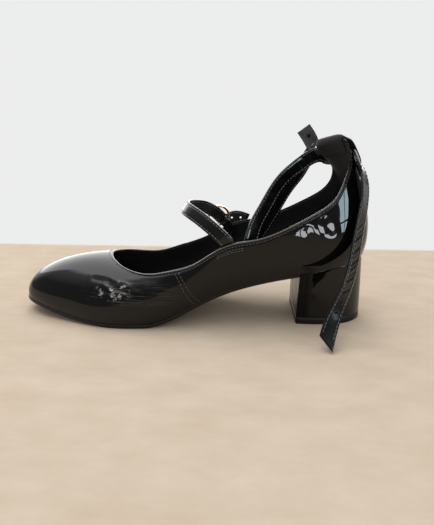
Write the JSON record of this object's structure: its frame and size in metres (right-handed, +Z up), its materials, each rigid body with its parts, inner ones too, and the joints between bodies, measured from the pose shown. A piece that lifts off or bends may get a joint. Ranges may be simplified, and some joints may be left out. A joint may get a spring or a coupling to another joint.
{
  "type": "mary jane shoe",
  "caption": "Women's block-heel mary jane pump in patent leather with an instep strap, a round buckle and a loose ankle strap through a heel loop.",
  "frame": {"origin": "on the floor, in the middle of the flat part of the heel's walking face", "axes": "+X from toe to heel, +Y from the medial to the lateral side of a right foot, +Z up"},
  "size_m": [0.2528, 0.1026, 0.1359],
  "materials": {
    "patent": "high-gloss black patent leather",
    "lining": "matte black lining",
    "sole": "matte black moulded sole",
    "gold": "polished pale rose gold plate"
  },
  "bodies": {
    "root": {"upper": "patent", "insole": "lining", "outsole": "sole", "heel_block": "patent", "top_piece": "sole", "heel_loop": "lining", "ankle_strap": "patent", "instep_strap": "patent", "buckle_strap": "patent", "buckle_ring": "gold", "buckle_prong": "gold"}
  },
  "joints": []
}
